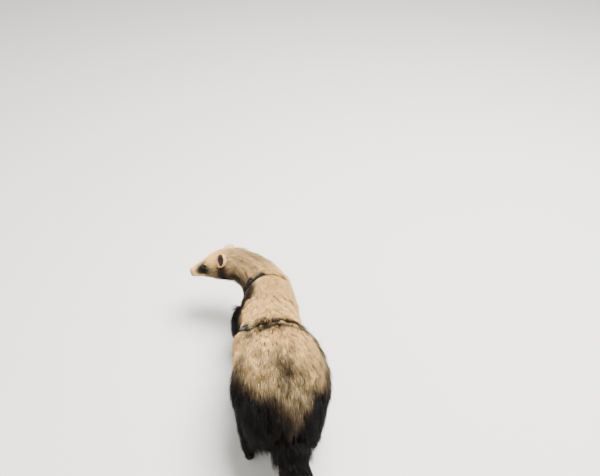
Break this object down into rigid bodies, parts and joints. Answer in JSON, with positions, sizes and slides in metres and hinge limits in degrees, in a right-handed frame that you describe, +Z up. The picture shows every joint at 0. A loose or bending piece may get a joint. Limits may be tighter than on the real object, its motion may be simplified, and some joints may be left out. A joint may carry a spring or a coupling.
{
  "type": "ferret",
  "caption": "Ferret in a thin strap harness, walking on four short legs with its head turned to its left and its tail carried low behind it.",
  "frame": {"origin": "on the floor, under the middle of the bounding box", "axes": "+Y is the way the body walks, +Z is up, and the animal's left is -X, where its nose points"},
  "size_m": [0.1874, 0.4334, 0.1328],
  "materials": {
    "coat_pale": "soft cream and tan fur",
    "face_coat": "short cream face fur with a brown mask",
    "coat_dark": "brown black fur",
    "nose_skin": "moist pink skin",
    "eye": "wet black",
    "webbing": "black nylon webbing",
    "steel": "worn steel wire"
  },
  "bodies": {
    "root": {"head": "face_coat", "ear_left": "face_coat", "ear_right": "face_coat", "eye_left": "eye", "eye_right": "eye", "nose": "nose_skin", "neck": "coat_pale", "torso": "coat_pale", "tail": "coat_dark", "upper_foreleg_left": "coat_dark", "lower_foreleg_left": "coat_dark", "forepaw_left": "coat_dark", "thigh_left": "coat_dark", "shank_left": "coat_dark", "hindpaw_left": "coat_dark", "upper_foreleg_right": "coat_dark", "lower_foreleg_right": "coat_dark", "forepaw_right": "coat_dark", "thigh_right": "coat_dark", "shank_right": "coat_dark", "hindpaw_right": "coat_dark", "harness_girth": "webbing", "harness_collar": "webbing", "harness_belly": "webbing", "harness_ring": "steel"}
  },
  "joints": []
}
